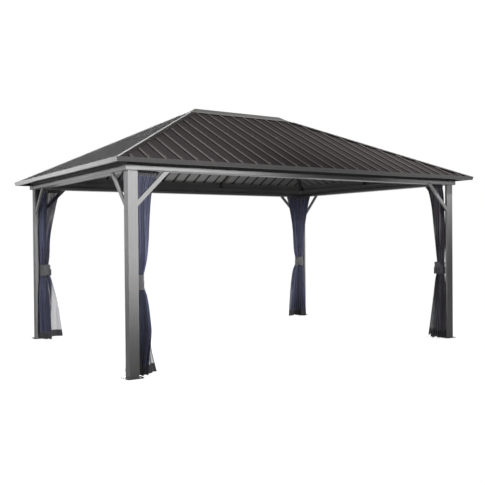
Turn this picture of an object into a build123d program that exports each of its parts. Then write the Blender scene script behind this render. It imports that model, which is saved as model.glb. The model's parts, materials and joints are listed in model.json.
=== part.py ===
from build123d import *
from math import cos, radians, sqrt, tan
import os

# Hip-roofed metal gazebo: four L-shaped posts on bolted foot plates, a ring of beams with
# corner blocks and knee braces, a ribbed sheet-metal hip roof on rafters, and a gathered
# mosquito net on a double track at each corner.
# Millimetres, +Z up, +X along the long side, the front on -Y. The origin is on the ground
# at the middle of the plan.

# Frame, over the outer faces of the posts
frame_length = 4560.0
frame_depth = 3235.0
beam_underside = 2000.0

# Posts: hollow L-shaped extrusions with two shallow flutes on each outer face
leg_width = 102.0
leg_thickness = 22.0
tube_wall = 2.0
flute_width = 5.0
flute_depth = 1.0
flutes_per_leg = 2

# Foot plates, with four anchor holes each
foot_thickness = 4.0
foot_margin = 36.0
foot_size = 180.0
foot_chamfer = 20.0
anchor_hole_radius = 5.5
anchor_spacing = 140.0

# Beams: a box with a rounded nose outside and an upstand that closes the eave
beam_height = 105.0
beam_inner = 72.0
nose_projection = 28.0
nose_height = 54.0
nose_radius = 18.0
nose_lower_radius = 14.0
upstand_start = 10.0
upstand_width = 25.0

# Corner blocks stand a little prouder than the beam noses
block_projection = 30.0
block_height = 56.0
collar_corner_radius = 4.0

# Knee braces, at 45 degrees
brace_reach = 345.0
brace_width = 42.0
brace_thickness = 20.0
brace_inset = 2.0

# Double curtain track inside the beams
track_width = 40.0
track_height = 36.0
track_slot_width = 9.0
track_slot_depth = 24.0
track_slot_offset = 10.0
track_gap = 1.0

# Roof
eave_overhang = 190.0
roof_pitch = 26.0

# Eave trims: a leaning face with a bottom lip, and a sloping ledge that takes the sheets
eave_trim_rise = 60.0
eave_trim_height = 42.0
eave_trim_sheet = 1.6
eave_trim_lean = 10.0
eave_bottom_lip = 28.0
eave_ledge = 22.0
eave_ledge_rise = 11.3

# Roof sheets: trapezoid ribs on a flat pan
rib_pitch = 175.7
rib_base = 46.0
rib_crest = 22.0
rib_height = 14.0
sheet_thickness = 1.5
sheet_hip_gap = 3.0

# Caps over the hips and the ridge
cap_thickness = 1.5
hip_cap_flange = 45.0
hip_roll_radius = 5.0
hip_cap_end_gap = 8.0
ridge_cap_flange = 125.0
ridge_crown_half = 62.0
ridge_crown_pitch = 34.0

# Rafters and ridge beam
rafter_width = 40.0
rafter_depth = 40.0
rafter_heel = 34.0
ridge_beam_width = 40.0
ridge_beam_depth = 70.0
hub_apothem = 50.0

# Gathered nets: the middle of each tied bundle, inwards from the outer corner of its post
net_bundle_centres = {
    "front_left": (138.0, 122.0),
    "front_right": (114.0, 116.0),
    "back_left": (122.0, 124.0),
    "back_right": (148.0, 118.0),
}
net_bottom = 8.0
tie_bottom = 845.0
tie_height = 146.0
tie_half_width = 72.0
tie_sheet = 2.5

# What touches face to face or nearly so
seat_clearance = 0.3

# Values worked out from the sizes above
slope = tan(radians(roof_pitch))
slope_cos = cos(radians(roof_pitch))
roof_length = frame_length + 2 * eave_overhang
roof_depth = frame_depth + 2 * eave_overhang
ridge_length = roof_length - roof_depth
eave_trim_bottom = beam_underside + eave_trim_rise
ledge_at_eave = eave_trim_bottom + eave_ledge_rise
sheet_underside_at_eave = ledge_at_eave + seat_clearance
sheet_inset = eave_trim_lean + eave_trim_sheet + seat_clearance
beam_top = beam_underside + beam_height
far = 2 * roof_length

CORNER_MIRRORS = {
    "front_left": (),
    "front_right": (Plane.YZ,),
    "back_left": (Plane.XZ,),
    "back_right": (Plane.YZ, Plane.XZ),
}

os.makedirs("parts", exist_ok=True)


def write(piece: BuildPart, label: str) -> None:
    """Label a finished piece and write its STEP file."""
    piece.part.label = label
    export_step(piece.part, f"parts/{label}.step")


def mirrored(piece: BuildPart, planes) -> BuildPart:
    """A copy of a piece, mirrored about each plane in turn."""
    with BuildPart() as copy:
        add(piece.part)
        for plane in planes:
            mirror(about=plane, mode=Mode.REPLACE)
    return copy


def write_corners(piece: BuildPart, stem: str) -> None:
    """Write the front left piece and its mirror images at the other three corners."""
    for corner, planes in CORNER_MIRRORS.items():
        write(mirrored(piece, planes), f"{stem}_{corner}")


def write_sides(front: BuildPart, left: BuildPart, stem: str) -> None:
    """Write the front and left pieces and their mirror images at the back and right."""
    write(front, f"{stem}_front")
    write(mirrored(front, (Plane.XZ,)), f"{stem}_back")
    write(left, f"{stem}_left")
    write(mirrored(left, (Plane.YZ,)), f"{stem}_right")


def corner_plane(height: float) -> Plane:
    """The horizontal plane whose origin is the outer corner of the front left post."""
    return Plane(origin=(-frame_length / 2, -frame_depth / 2, height), z_dir=(0, 0, 1))


def hip_solid(apex: float, rise: float = slope) -> Part:
    """Everything under four roof planes: the height of their ridge, and how steeply they fall."""
    base = beam_underside - frame_depth
    half_base = (apex - base) / rise
    with BuildPart() as form:
        with BuildSketch(Plane.YZ.offset(-far / 2)):
            with BuildLine():
                Polyline((-half_base, base), (half_base, base), (0, apex), close=True)
            make_face()
        extrude(amount=far)
        with BuildSketch(Plane.XZ.offset(-far / 2)):
            with BuildLine():
                Polyline(
                    (-ridge_length / 2 - half_base, base),
                    (ridge_length / 2 + half_base, base),
                    (ridge_length / 2, apex),
                    (-ridge_length / 2, apex),
                    close=True,
                )
            make_face()
        extrude(amount=far, mode=Mode.INTERSECT)
    return form.part


def roof_shell(low: float, thickness: float, rise: float = slope) -> Part:
    """A shell of four roof planes: the height of its underside at the ridge, and its thickness."""
    outside = hip_solid(low + thickness * sqrt(1 + rise * rise), rise)
    inside = hip_solid(low, rise)
    with BuildPart() as shell:
        add(outside)
        add(inside, mode=Mode.SUBTRACT)
    return shell.part


def plan_prism(*outline) -> Part:
    """A tall upright prism over an outline in plan, from the beams up."""
    with BuildPart() as prism:
        with BuildSketch(Plane.XY.offset(beam_underside)):
            with BuildLine():
                Polyline(*outline, close=True)
            make_face()
        extrude(amount=far)
    return prism.part


# Posts
post_height = beam_underside - foot_thickness
with BuildPart() as post:
    with BuildSketch(corner_plane(foot_thickness)) as post_profile:
        with BuildLine():
            Polyline(
                (0, 0),
                (leg_width, 0),
                (leg_width, leg_thickness),
                (leg_thickness, leg_thickness),
                (leg_thickness, leg_width),
                (0, leg_width),
                close=True,
            )
        make_face()
        offset(amount=-tube_wall, kind=Kind.INTERSECTION, mode=Mode.SUBTRACT)
        for flute in range(flutes_per_leg):
            place = leg_width * (flute + 1) / (flutes_per_leg + 1)
            with Locations((place, 0)):
                Rectangle(flute_width, 2 * flute_depth, mode=Mode.SUBTRACT)
            with Locations((0, place)):
                Rectangle(2 * flute_depth, flute_width, mode=Mode.SUBTRACT)
    extrude(amount=post_height)
write_corners(post, "post")

# Foot plates
foot_middle = foot_size / 2 - foot_margin
with BuildPart() as foot_plate:
    with BuildSketch(corner_plane(0)):
        with Locations((foot_middle, foot_middle)):
            foot_outline = Rectangle(foot_size, foot_size)
            chamfer(foot_outline.vertices(), foot_chamfer)
            with GridLocations(anchor_spacing, anchor_spacing, 2, 2):
                Circle(anchor_hole_radius, mode=Mode.SUBTRACT)
    extrude(amount=foot_thickness)
write_corners(foot_plate, "foot_plate")


def beam_section(inward: float, height: float) -> tuple:
    """A point of the beam's section: inwards from the post's face, above the underside."""
    return (inward, beam_underside + height)


# Beams, each between two corner blocks
nose_flat = nose_height - nose_radius
nose_foot = nose_lower_radius - nose_projection
sheet_above = sheet_underside_at_eave - seat_clearance - beam_underside
upstand_end = upstand_start + upstand_width
with BuildSketch() as beam_profile:
    with BuildLine():
        nose_arc = RadiusArc(
            beam_section(-nose_projection, nose_flat),
            beam_section(nose_radius - nose_projection, nose_height),
            nose_radius,
        )
        nose_foot_arc = RadiusArc(
            beam_section(nose_foot, 0),
            beam_section(-nose_projection, nose_lower_radius),
            nose_lower_radius,
        )
        Line(nose_foot_arc @ 1, nose_arc @ 0)
        Polyline(
            nose_arc @ 1,
            beam_section(0, nose_height),
            beam_section(0, beam_height),
            beam_section(upstand_start, beam_height),
            beam_section(upstand_start, sheet_above + (eave_overhang + upstand_start) * slope),
            beam_section(upstand_end, sheet_above + (eave_overhang + upstand_end) * slope),
            beam_section(upstand_end, beam_height),
            beam_section(beam_inner, beam_height),
            beam_section(beam_inner, 0),
            nose_foot_arc @ 0,
        )
    make_face()
    offset(amount=-tube_wall, kind=Kind.INTERSECTION, mode=Mode.SUBTRACT)

front_beam_length = frame_length - 2 * leg_width
left_beam_length = frame_depth - 2 * leg_width
with BuildPart() as beam_front:
    with BuildSketch(
        Plane(origin=(-front_beam_length / 2, -frame_depth / 2, 0), x_dir=(0, 1, 0), z_dir=(1, 0, 0))
    ):
        add(beam_profile.sketch)
    extrude(amount=front_beam_length)
with BuildPart() as beam_left:
    with BuildSketch(
        Plane(origin=(-frame_length / 2, left_beam_length / 2, 0), x_dir=(1, 0, 0), z_dir=(0, -1, 0))
    ):
        add(beam_profile.sketch)
    extrude(amount=left_beam_length)
write_sides(beam_front, beam_left, "beam")

# Corner blocks: a proud collar, a core as high as the beams, and the corner of the upstand
collar_size = block_projection + leg_width
collar_middle = (leg_width - block_projection) / 2
upstand_outline = leg_width - upstand_start
sheet_underside_at_ridge = sheet_underside_at_eave + roof_depth / 2 * slope
under_sheets = hip_solid(sheet_underside_at_ridge - seat_clearance)
with BuildPart() as corner_block:
    with BuildSketch(corner_plane(beam_underside)):
        with Locations((collar_middle, collar_middle)):
            collar = Rectangle(collar_size, collar_size)
            fillet(collar.vertices().group_by(Axis.X)[0].sort_by(Axis.Y)[0], collar_corner_radius)
    extrude(amount=block_height)
    with BuildSketch(corner_plane(beam_underside + block_height)):
        Rectangle(leg_width, leg_width, align=(Align.MIN, Align.MIN))
    extrude(amount=beam_height - block_height)
    with BuildSketch(corner_plane(beam_top)):
        with Locations((upstand_start, upstand_start)):
            Rectangle(upstand_outline, upstand_outline, align=(Align.MIN, Align.MIN))
        with Locations((upstand_end, upstand_end)):
            Rectangle(upstand_outline, upstand_outline, align=(Align.MIN, Align.MIN), mode=Mode.SUBTRACT)
    extrude(amount=leg_width + upstand_width)
    add(under_sheets, mode=Mode.INTERSECT)
write_corners(corner_block, "corner_block")

# Knee braces: one along each leg, from the leg's end up to the beam
brace_slant = brace_width * sqrt(2)
brace_foot = beam_underside - brace_reach
with BuildSketch() as brace_profile:
    with BuildLine():
        Polyline(
            (leg_width, brace_foot),
            (leg_width + brace_reach, beam_underside),
            (leg_width + brace_reach - brace_slant, beam_underside),
            (leg_width, brace_foot + brace_slant),
            close=True,
        )
    make_face()
with BuildPart() as braces:
    brace_outside = Plane(
        origin=(-frame_length / 2, -frame_depth / 2 + brace_inset + brace_thickness, 0),
        x_dir=(1, 0, 0),
        z_dir=(0, -1, 0),
    )
    with BuildSketch(brace_outside):
        add(brace_profile.sketch)
    extrude(amount=brace_thickness)
    brace_left = Plane(
        origin=(-frame_length / 2 + brace_inset, -frame_depth / 2, 0), x_dir=(0, 1, 0), z_dir=(1, 0, 0)
    )
    with BuildSketch(brace_left):
        add(brace_profile.sketch)
    extrude(amount=brace_thickness)
write_corners(braces, "braces")

# Double curtain tracks under the beams' inner faces
track_end = beam_inner + track_width + track_gap
front_track_length = frame_length - 2 * leg_width
left_track_length = frame_depth - 2 * track_end
track_middle = beam_inner + track_width / 2
with BuildSketch() as track_profile:
    with Locations((beam_inner, beam_underside)):
        Rectangle(track_width, track_height, align=(Align.MIN, Align.MIN))
    for side in (-1, 1):
        with Locations((track_middle + side * track_slot_offset, beam_underside)):
            Rectangle(
                track_slot_width,
                track_slot_depth,
                align=(Align.CENTER, Align.MIN),
                mode=Mode.SUBTRACT,
            )
with BuildPart() as track_front:
    with BuildSketch(
        Plane(origin=(-front_track_length / 2, -frame_depth / 2, 0), x_dir=(0, 1, 0), z_dir=(1, 0, 0))
    ):
        add(track_profile.sketch)
    extrude(amount=front_track_length)
with BuildPart() as track_left:
    with BuildSketch(
        Plane(origin=(-frame_length / 2, left_track_length / 2, 0), x_dir=(1, 0, 0), z_dir=(0, -1, 0))
    ):
        add(track_profile.sketch)
    extrude(amount=left_track_length)
with BuildPart() as curtain_tracks:
    add(track_front.part)
    mirror(track_front.part, about=Plane.XZ)
    add(track_left.part)
    mirror(track_left.part, about=Plane.YZ)
write(curtain_tracks, "curtain_tracks")

# Rafters. Each has a heel that stands on the beam or the corner block.
rafter_start = eave_overhang + upstand_end + seat_clearance
rafter_top_at_eave = sheet_underside_at_eave - seat_clearance


def rafter_profile(start: float, end: float, rise: float, top_at_eave: float) -> Sketch:
    """A rafter from the side: along the plan, and up. Rise is its climb for each millimetre."""
    depth = rafter_depth * sqrt(1 + rise * rise)
    heel_end = start + rafter_heel
    with BuildSketch() as profile:
        with BuildLine():
            Polyline(
                (start, beam_top + seat_clearance),
                (heel_end, beam_top + seat_clearance),
                (heel_end, top_at_eave + heel_end * rise - depth),
                (end, top_at_eave + end * rise - depth),
                (end, top_at_eave + end * rise),
                (start, top_at_eave + start * rise),
                close=True,
            )
        make_face()
    return profile.sketch


half_rafter = rafter_width / 2
hip_rise = slope / sqrt(2)
hip_start = (eave_overhang + upstand_end) * sqrt(2) + half_rafter + seat_clearance
hip_end = roof_depth / 2 * sqrt(2) - hub_apothem - seat_clearance
hip_rafter_profile = rafter_profile(
    hip_start, hip_end, hip_rise, rafter_top_at_eave - half_rafter * hip_rise
)
with BuildPart() as hip_rafter:
    with BuildSketch(
        Plane(origin=(-roof_length / 2, -roof_depth / 2, 0), x_dir=(1, 1, 0), z_dir=(1, -1, 0))
    ):
        add(hip_rafter_profile)
    extrude(amount=half_rafter, both=True)
write_corners(hip_rafter, "hip_rafter")

common_end = roof_depth / 2 - hub_apothem - seat_clearance
common_profile = rafter_profile(rafter_start, common_end, slope, rafter_top_at_eave)
with BuildPart() as front_rafter:
    with BuildSketch(
        Plane(origin=(-ridge_length / 2, -roof_depth / 2, 0), x_dir=(0, 1, 0), z_dir=(1, 0, 0))
    ):
        add(common_profile)
    extrude(amount=half_rafter, both=True)
with BuildPart() as left_rafter:
    with BuildSketch(Plane(origin=(-roof_length / 2, 0, 0), x_dir=(1, 0, 0), z_dir=(0, -1, 0))):
        add(common_profile)
    extrude(amount=half_rafter, both=True)
front_rafters = [mirrored(front_rafter, planes) for planes in CORNER_MIRRORS.values()]
with BuildPart() as common_rafters:
    for rafter in front_rafters:
        add(rafter.part)
    add(left_rafter.part)
    mirror(left_rafter.part, about=Plane.YZ)
write(common_rafters, "common_rafters")

# Ridge beam, with an eight-sided hub at each end where six members meet
with BuildPart() as ridge_beam:
    with BuildSketch(Plane.XY.offset(sheet_underside_at_ridge - ridge_beam_depth)):
        Rectangle(ridge_length, ridge_beam_width)
        with Locations((-ridge_length / 2, 0), (ridge_length / 2, 0)):
            RegularPolygon(hub_apothem, 8, major_radius=False, rotation=180 / 8)
    extrude(amount=ridge_beam_depth)
    add(under_sheets, mode=Mode.INTERSECT)
write(ridge_beam, "ridge_beam")


# Roof sheets, each slope cut to its hips and its ridge
def sheet_profile(eave_length: float) -> Sketch:
    """The folded sheet from its end: along the eave, and out from the slope."""
    rib_count = int((eave_length / 2 - rib_base) / rib_pitch)
    underside = [(-eave_length / 2, 0)]
    for step in range(-rib_count, rib_count + 1):
        middle = step * rib_pitch
        underside.append((middle - rib_base / 2, 0))
        underside.append((middle - rib_crest / 2, rib_height))
        underside.append((middle + rib_crest / 2, rib_height))
        underside.append((middle + rib_base / 2, 0))
    underside.append((eave_length / 2, 0))
    outside = [(along, out + sheet_thickness) for along, out in reversed(underside)]
    with BuildSketch() as profile:
        with BuildLine():
            Polyline(*underside, *outside, close=True)
        make_face()
    return profile.sketch


half_length = roof_length / 2
half_depth = roof_depth / 2
half_ridge = ridge_length / 2
sheet_spare = 2 * rib_height
sheet_run = (half_depth + 2 * sheet_spare) / slope_cos
sheet_start_height = sheet_underside_at_eave - sheet_spare * slope
sheet_x = half_length - sheet_inset
sheet_y = half_depth - sheet_inset
front_slope_plan = plan_prism(
    (-sheet_x + sheet_hip_gap, -sheet_y),
    (sheet_x - sheet_hip_gap, -sheet_y),
    (half_ridge, -sheet_hip_gap),
    (-half_ridge, -sheet_hip_gap),
)
left_slope_plan = plan_prism(
    (-sheet_x, -sheet_y + sheet_hip_gap),
    (-half_ridge - sheet_hip_gap, 0),
    (-sheet_x, sheet_y - sheet_hip_gap),
)
front_sheet_profile = sheet_profile(roof_length)
left_sheet_profile = sheet_profile(roof_depth)
with BuildPart() as roof_panel_front:
    with BuildSketch(
        Plane(
            origin=(0, -half_depth - sheet_spare, sheet_start_height),
            x_dir=(1, 0, 0),
            z_dir=(0, -1, -slope),
        )
    ):
        add(front_sheet_profile)
    extrude(amount=-sheet_run)
    add(front_slope_plan, mode=Mode.INTERSECT)
with BuildPart() as roof_panel_left:
    with BuildSketch(
        Plane(
            origin=(-half_length - sheet_spare, 0, sheet_start_height),
            x_dir=(0, -1, 0),
            z_dir=(-1, 0, -slope),
        )
    ):
        add(left_sheet_profile)
    extrude(amount=-sheet_run)
    add(left_slope_plan, mode=Mode.INTERSECT)
write_sides(roof_panel_front, roof_panel_left, "roof_panel")

# Hip caps: folded strips on the ribs, with a small roll along the fold
hip_cap_low = (
    sheet_underside_at_ridge + (rib_height + sheet_thickness) / slope_cos + seat_clearance
)
hip_cap_high = hip_cap_low + cap_thickness / slope_cos
hip_cap_end = hip_cap_flange * sqrt(2) + hip_cap_end_gap
flange_along_eave = hip_cap_flange * sqrt(2)
hip_strip = plan_prism(
    (-sheet_x, -sheet_y),
    (-sheet_x + flange_along_eave, -sheet_y),
    (-half_ridge - hip_cap_end + flange_along_eave, -hip_cap_end),
    (-half_ridge - hip_cap_end, -hip_cap_end),
    (-half_ridge - hip_cap_end, -hip_cap_end + flange_along_eave),
    (-sheet_x, -sheet_y + flange_along_eave),
)
roll_start = 2 * hip_roll_radius
roll_end = half_depth - ridge_cap_flange - 2 * hip_roll_radius
roll_length = (roll_end - roll_start) * sqrt(2 + slope * slope)
with BuildPart() as hip_cap:
    add(roof_shell(hip_cap_low, cap_thickness))
    add(hip_strip, mode=Mode.INTERSECT)
    with BuildSketch(
        Plane(
            origin=(
                -half_length + roll_start,
                -half_depth + roll_start,
                hip_cap_low + hip_roll_radius / slope_cos - (half_depth - roll_start) * slope,
            ),
            x_dir=(1, -1, 0),
            z_dir=(1, 1, slope),
        )
    ):
        Circle(hip_roll_radius)
    extrude(amount=roll_length)
write_corners(hip_cap, "hip_cap")

# Ridge cap: flanges that lap the hip caps, and a steeper crown between them. Its two ends
# turn down over the end slopes.
def ridge_plan(reach: float) -> Part:
    """The ground that reaches this far out from the ridge line."""
    along = half_ridge + reach
    return plan_prism((-along, -reach), (along, -reach), (along, reach), (-along, reach))


ridge_cap_low = hip_cap_high + seat_clearance
crown_slope = tan(radians(ridge_crown_pitch))
crown_low = ridge_cap_low + ridge_crown_half * (crown_slope - slope)
with BuildPart() as ridge_crown:
    add(roof_shell(crown_low, cap_thickness, crown_slope))
    add(ridge_plan(ridge_crown_half), mode=Mode.INTERSECT)
with BuildPart() as ridge_cap:
    add(roof_shell(ridge_cap_low, cap_thickness))
    add(ridge_plan(ridge_cap_flange), mode=Mode.INTERSECT)
    add(ridge_plan(ridge_crown_half), mode=Mode.SUBTRACT)
    add(ridge_crown.part)
write(ridge_cap, "ridge_cap")

# Eave trims, mitred at the corners. The sheets end behind the face, on the ledge.
face_top = eave_trim_bottom + eave_trim_height
ledge_start = eave_trim_sheet + eave_trim_lean * (1 - eave_ledge_rise / eave_trim_height)
ledge_end = ledge_start + eave_ledge
ledge_upright = eave_trim_sheet / slope_cos
lip_end = eave_trim_lean + eave_bottom_lip
with BuildSketch() as eave_trim_profile:
    with BuildLine():
        Polyline(
            (lip_end, eave_trim_bottom),
            (eave_trim_lean, eave_trim_bottom),
            (0, face_top),
            (eave_trim_sheet, face_top),
            (ledge_start, ledge_at_eave + ledge_start * slope),
            (ledge_end, ledge_at_eave + ledge_end * slope),
            (ledge_end, ledge_at_eave + ledge_end * slope - ledge_upright),
            (ledge_start, ledge_at_eave + ledge_start * slope - ledge_upright),
            (eave_trim_lean + eave_trim_sheet, eave_trim_bottom + eave_trim_sheet),
            (lip_end, eave_trim_bottom + eave_trim_sheet),
            close=True,
        )
    make_face()
trim_mitre = 2 * lip_end
front_trim_plan = plan_prism(
    (-half_length + seat_clearance, -half_depth),
    (half_length - seat_clearance, -half_depth),
    (half_length - seat_clearance - trim_mitre, -half_depth + trim_mitre),
    (-half_length + seat_clearance + trim_mitre, -half_depth + trim_mitre),
)
left_trim_plan = plan_prism(
    (-half_length, -half_depth + seat_clearance),
    (-half_length + trim_mitre, -half_depth + seat_clearance + trim_mitre),
    (-half_length + trim_mitre, half_depth - seat_clearance - trim_mitre),
    (-half_length, half_depth - seat_clearance),
)
with BuildPart() as eave_trim_front:
    with BuildSketch(Plane(origin=(-half_length, -half_depth, 0), x_dir=(0, 1, 0), z_dir=(1, 0, 0))):
        add(eave_trim_profile.sketch)
    extrude(amount=roof_length)
    add(front_trim_plan, mode=Mode.INTERSECT)
with BuildPart() as eave_trim_left:
    with BuildSketch(Plane(origin=(-half_length, half_depth, 0), x_dir=(1, 0, 0), z_dir=(0, -1, 0))):
        add(eave_trim_profile.sketch)
    extrude(amount=roof_depth)
    add(left_trim_plan, mode=Mode.INTERSECT)
write_sides(eave_trim_front, eave_trim_left, "eave_trim")

# Gathered nets: an eight-sided body with a wing along each track. Every side of the outline
# keeps its direction from the hem to the track, so each face between two heights is flat.
# Each row is a share of the way from the tie, the half width of the body, and the wings' reach.
tie_top = tie_bottom + tie_height
net_top = beam_underside - seat_clearance
octagon_share = tan(radians(180 / 8))
net_waist = tie_half_width - tie_sheet - 2 * seat_clearance
waist_reach = net_waist + seat_clearance
net_below_tie = ((1.0, 86.0, 214.0), (0.9, 84.0, 186.0), (0.65, 80.0, 152.0), (0.29, 76.0, 116.0))
net_above_tie = (
    (0.19, 70.0, 96.0),
    (0.48, 66.0, 126.0),
    (0.72, 60.0, 156.0),
    (0.88, 56.0, 192.0),
    (1.0, 52.0, 242.0),
)
net_sections = [
    (tie_bottom - share * (tie_bottom - net_bottom), body, reach)
    for share, body, reach in net_below_tie
]
net_sections += [(tie_bottom, net_waist, waist_reach), (tie_top, net_waist, waist_reach)]
net_sections += [
    (tie_top + share * (net_top - tie_top), body, reach) for share, body, reach in net_above_tie
]


def net_outline(middle: tuple, body: float, reach: float) -> list:
    """The outline in plan, round the bundle's middle."""
    half_side = body * octagon_share
    outline = (
        (reach, -half_side),
        (reach, half_side),
        (body, half_side),
        (half_side, body),
        (half_side, reach),
        (-half_side, reach),
        (-half_side, body),
        (-body, half_side),
        (-body, -half_side),
        (-half_side, -body),
        (half_side, -body),
        (body, -half_side),
    )
    return [(middle[0] + along, middle[1] + inward) for along, inward in outline]


def flat_sided_net(middle: tuple) -> Solid:
    """The net's solid, with one flat face between two neighbouring points at two heights."""
    rings = [
        [
            corner_plane(height).from_local_coords((along, inward, 0))
            for along, inward in net_outline(middle, body, reach)
        ]
        for height, body, reach in net_sections
    ]
    faces = [Face(Wire.make_polygon(ring)) for ring in (rings[0], rings[-1])]
    for lower, upper in zip(rings, rings[1:]):
        for start, end, above_end, above_start in zip(
            lower, lower[1:] + lower[:1], upper[1:] + upper[:1], upper
        ):
            faces.append(Face(Wire.make_polygon((start, end, above_end, above_start))))
    return Solid(Shell(faces))


for corner, planes in CORNER_MIRRORS.items():
    with BuildPart() as curtain:
        add(flat_sided_net(net_bundle_centres[corner]))
    write(mirrored(curtain, planes), f"curtain_{corner}")

# Ties: one band round each bundle, with the flats of the net's eight-sided waist
ties = []
for corner, planes in CORNER_MIRRORS.items():
    with BuildPart() as tie:
        with BuildSketch(corner_plane(tie_bottom)):
            with Locations(net_bundle_centres[corner]):
                for half_width, mode in (
                    (tie_half_width, Mode.ADD),
                    (tie_half_width - tie_sheet, Mode.SUBTRACT),
                ):
                    RegularPolygon(
                        half_width, 8, major_radius=False, rotation=180 / 8, mode=mode
                    )
        extrude(amount=tie_height)
    ties.append(mirrored(tie, planes))
with BuildPart() as curtain_ties:
    for tie in ties:
        add(tie.part)
write(curtain_ties, "curtain_ties")
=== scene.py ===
"""Dress the metal gazebo: satin-coated frame, ribbed steel roof, gathered nets and their ties."""

from __future__ import annotations

import json
import logging
import math
from collections.abc import Callable, Iterable
from dataclasses import dataclass
from enum import Enum

import bmesh
import bpy
from mathutils import Matrix, Vector
from mathutils.bvhtree import BVHTree

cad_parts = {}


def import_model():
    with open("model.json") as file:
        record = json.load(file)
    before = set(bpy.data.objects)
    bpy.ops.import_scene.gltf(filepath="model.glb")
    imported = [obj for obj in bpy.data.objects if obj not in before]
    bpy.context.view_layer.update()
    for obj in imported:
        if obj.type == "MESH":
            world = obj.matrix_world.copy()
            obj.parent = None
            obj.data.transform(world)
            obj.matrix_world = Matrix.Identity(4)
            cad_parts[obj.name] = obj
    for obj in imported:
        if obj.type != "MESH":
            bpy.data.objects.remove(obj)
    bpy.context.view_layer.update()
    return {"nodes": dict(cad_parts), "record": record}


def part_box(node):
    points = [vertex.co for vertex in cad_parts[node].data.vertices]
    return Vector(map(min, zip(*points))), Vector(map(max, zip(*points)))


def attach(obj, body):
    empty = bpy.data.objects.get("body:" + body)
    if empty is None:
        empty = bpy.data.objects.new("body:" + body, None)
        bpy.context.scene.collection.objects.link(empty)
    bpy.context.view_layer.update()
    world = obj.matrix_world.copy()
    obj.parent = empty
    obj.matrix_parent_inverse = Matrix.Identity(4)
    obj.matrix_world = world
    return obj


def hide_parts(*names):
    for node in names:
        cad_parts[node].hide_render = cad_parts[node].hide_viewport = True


LOG = logging.getLogger("gazebo")
FRAME_HALF_LENGTH = 2.28
FRAME_HALF_DEPTH = 1.6175
RIB_PITCH = 0.1757
TIE_HEIGHT = 0.918
SOFT_SLOTS = ("netting", "tie_band")

Colour = tuple[float, float, float]
WHITE: Colour = (1.0, 1.0, 1.0)


class Corner(Enum):
    """The four corners of the frame, with the sign of x and of y at each."""

    FRONT_LEFT = (-1, -1)
    FRONT_RIGHT = (1, -1)
    BACK_LEFT = (-1, 1)
    BACK_RIGHT = (1, 1)

    @property
    def label(self) -> str:
        """The corner's name as the CAD nodes spell it."""
        return self.name.lower()

    def place(self, along: float, inward: float, height: float) -> Vector:
        """A point given by its distances inwards from the post's two outer faces.

        Args:
            along: Distance from the outer face of the short side, in metres.
            inward: Distance from the outer face of the long side.
            height: Height above the floor.

        Returns:
            The point in the row frame.
        """
        side, end = self.value
        return Vector(
            (side * (FRAME_HALF_LENGTH - along), end * (FRAME_HALF_DEPTH - inward), height)
        )


def joined(operation: str, swapped: bool = False) -> Callable[[Term, Term | float], Term]:
    """A method that joins a term and a second value in a Math node.

    Args:
        operation: The node's operation.
        swapped: Whether the second value goes first.

    Returns:
        The method.
    """

    def join(term: Term, other: Term | float) -> Term:
        """Join the two."""
        pair = (other, term) if swapped else (term, other)
        return term.graph.maths(operation, *pair)

    return join


class Term:
    """A shader value on which sums can be written.

    Above and below give one where they hold and zero elsewhere. Folded runs up and down between
    zero and the given pitch.
    """

    __add__ = __radd__ = joined("ADD")
    __sub__ = joined("SUBTRACT")
    __rsub__ = joined("SUBTRACT", swapped=True)
    __mul__ = __rmul__ = joined("MULTIPLY")
    __truediv__ = joined("DIVIDE")
    above = joined("GREATER_THAN")
    below = joined("LESS_THAN")
    larger = joined("MAXIMUM")
    folded = joined("PINGPONG")

    def __init__(self, graph: Graph, socket: bpy.types.NodeSocket) -> None:
        """Wrap a socket of the graph."""
        self.graph = graph
        self.socket = socket

    def __abs__(self) -> Term:
        """Drop the sign."""
        return self.graph.maths("ABSOLUTE", self)

    def between(self, low: float, high: float) -> Term:
        """Grade the value.

        Args:
            low: Where the result is still zero.
            high: Where it has risen smoothly to one.

        Returns:
            The graded value.
        """
        smooth = {"interpolation_type": "SMOOTHSTEP"}
        made = self.graph.node("MapRange", smooth, Value=self, From_Min=low, From_Max=high)
        return self.graph.term(made)

    def band(self, middle: float, width: float) -> Term:
        """Fall smoothly from one near the middle to zero at one and a half widths from it."""
        return 1.0 - abs(self - middle).between(width * 0.5, width * 1.5)


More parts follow.
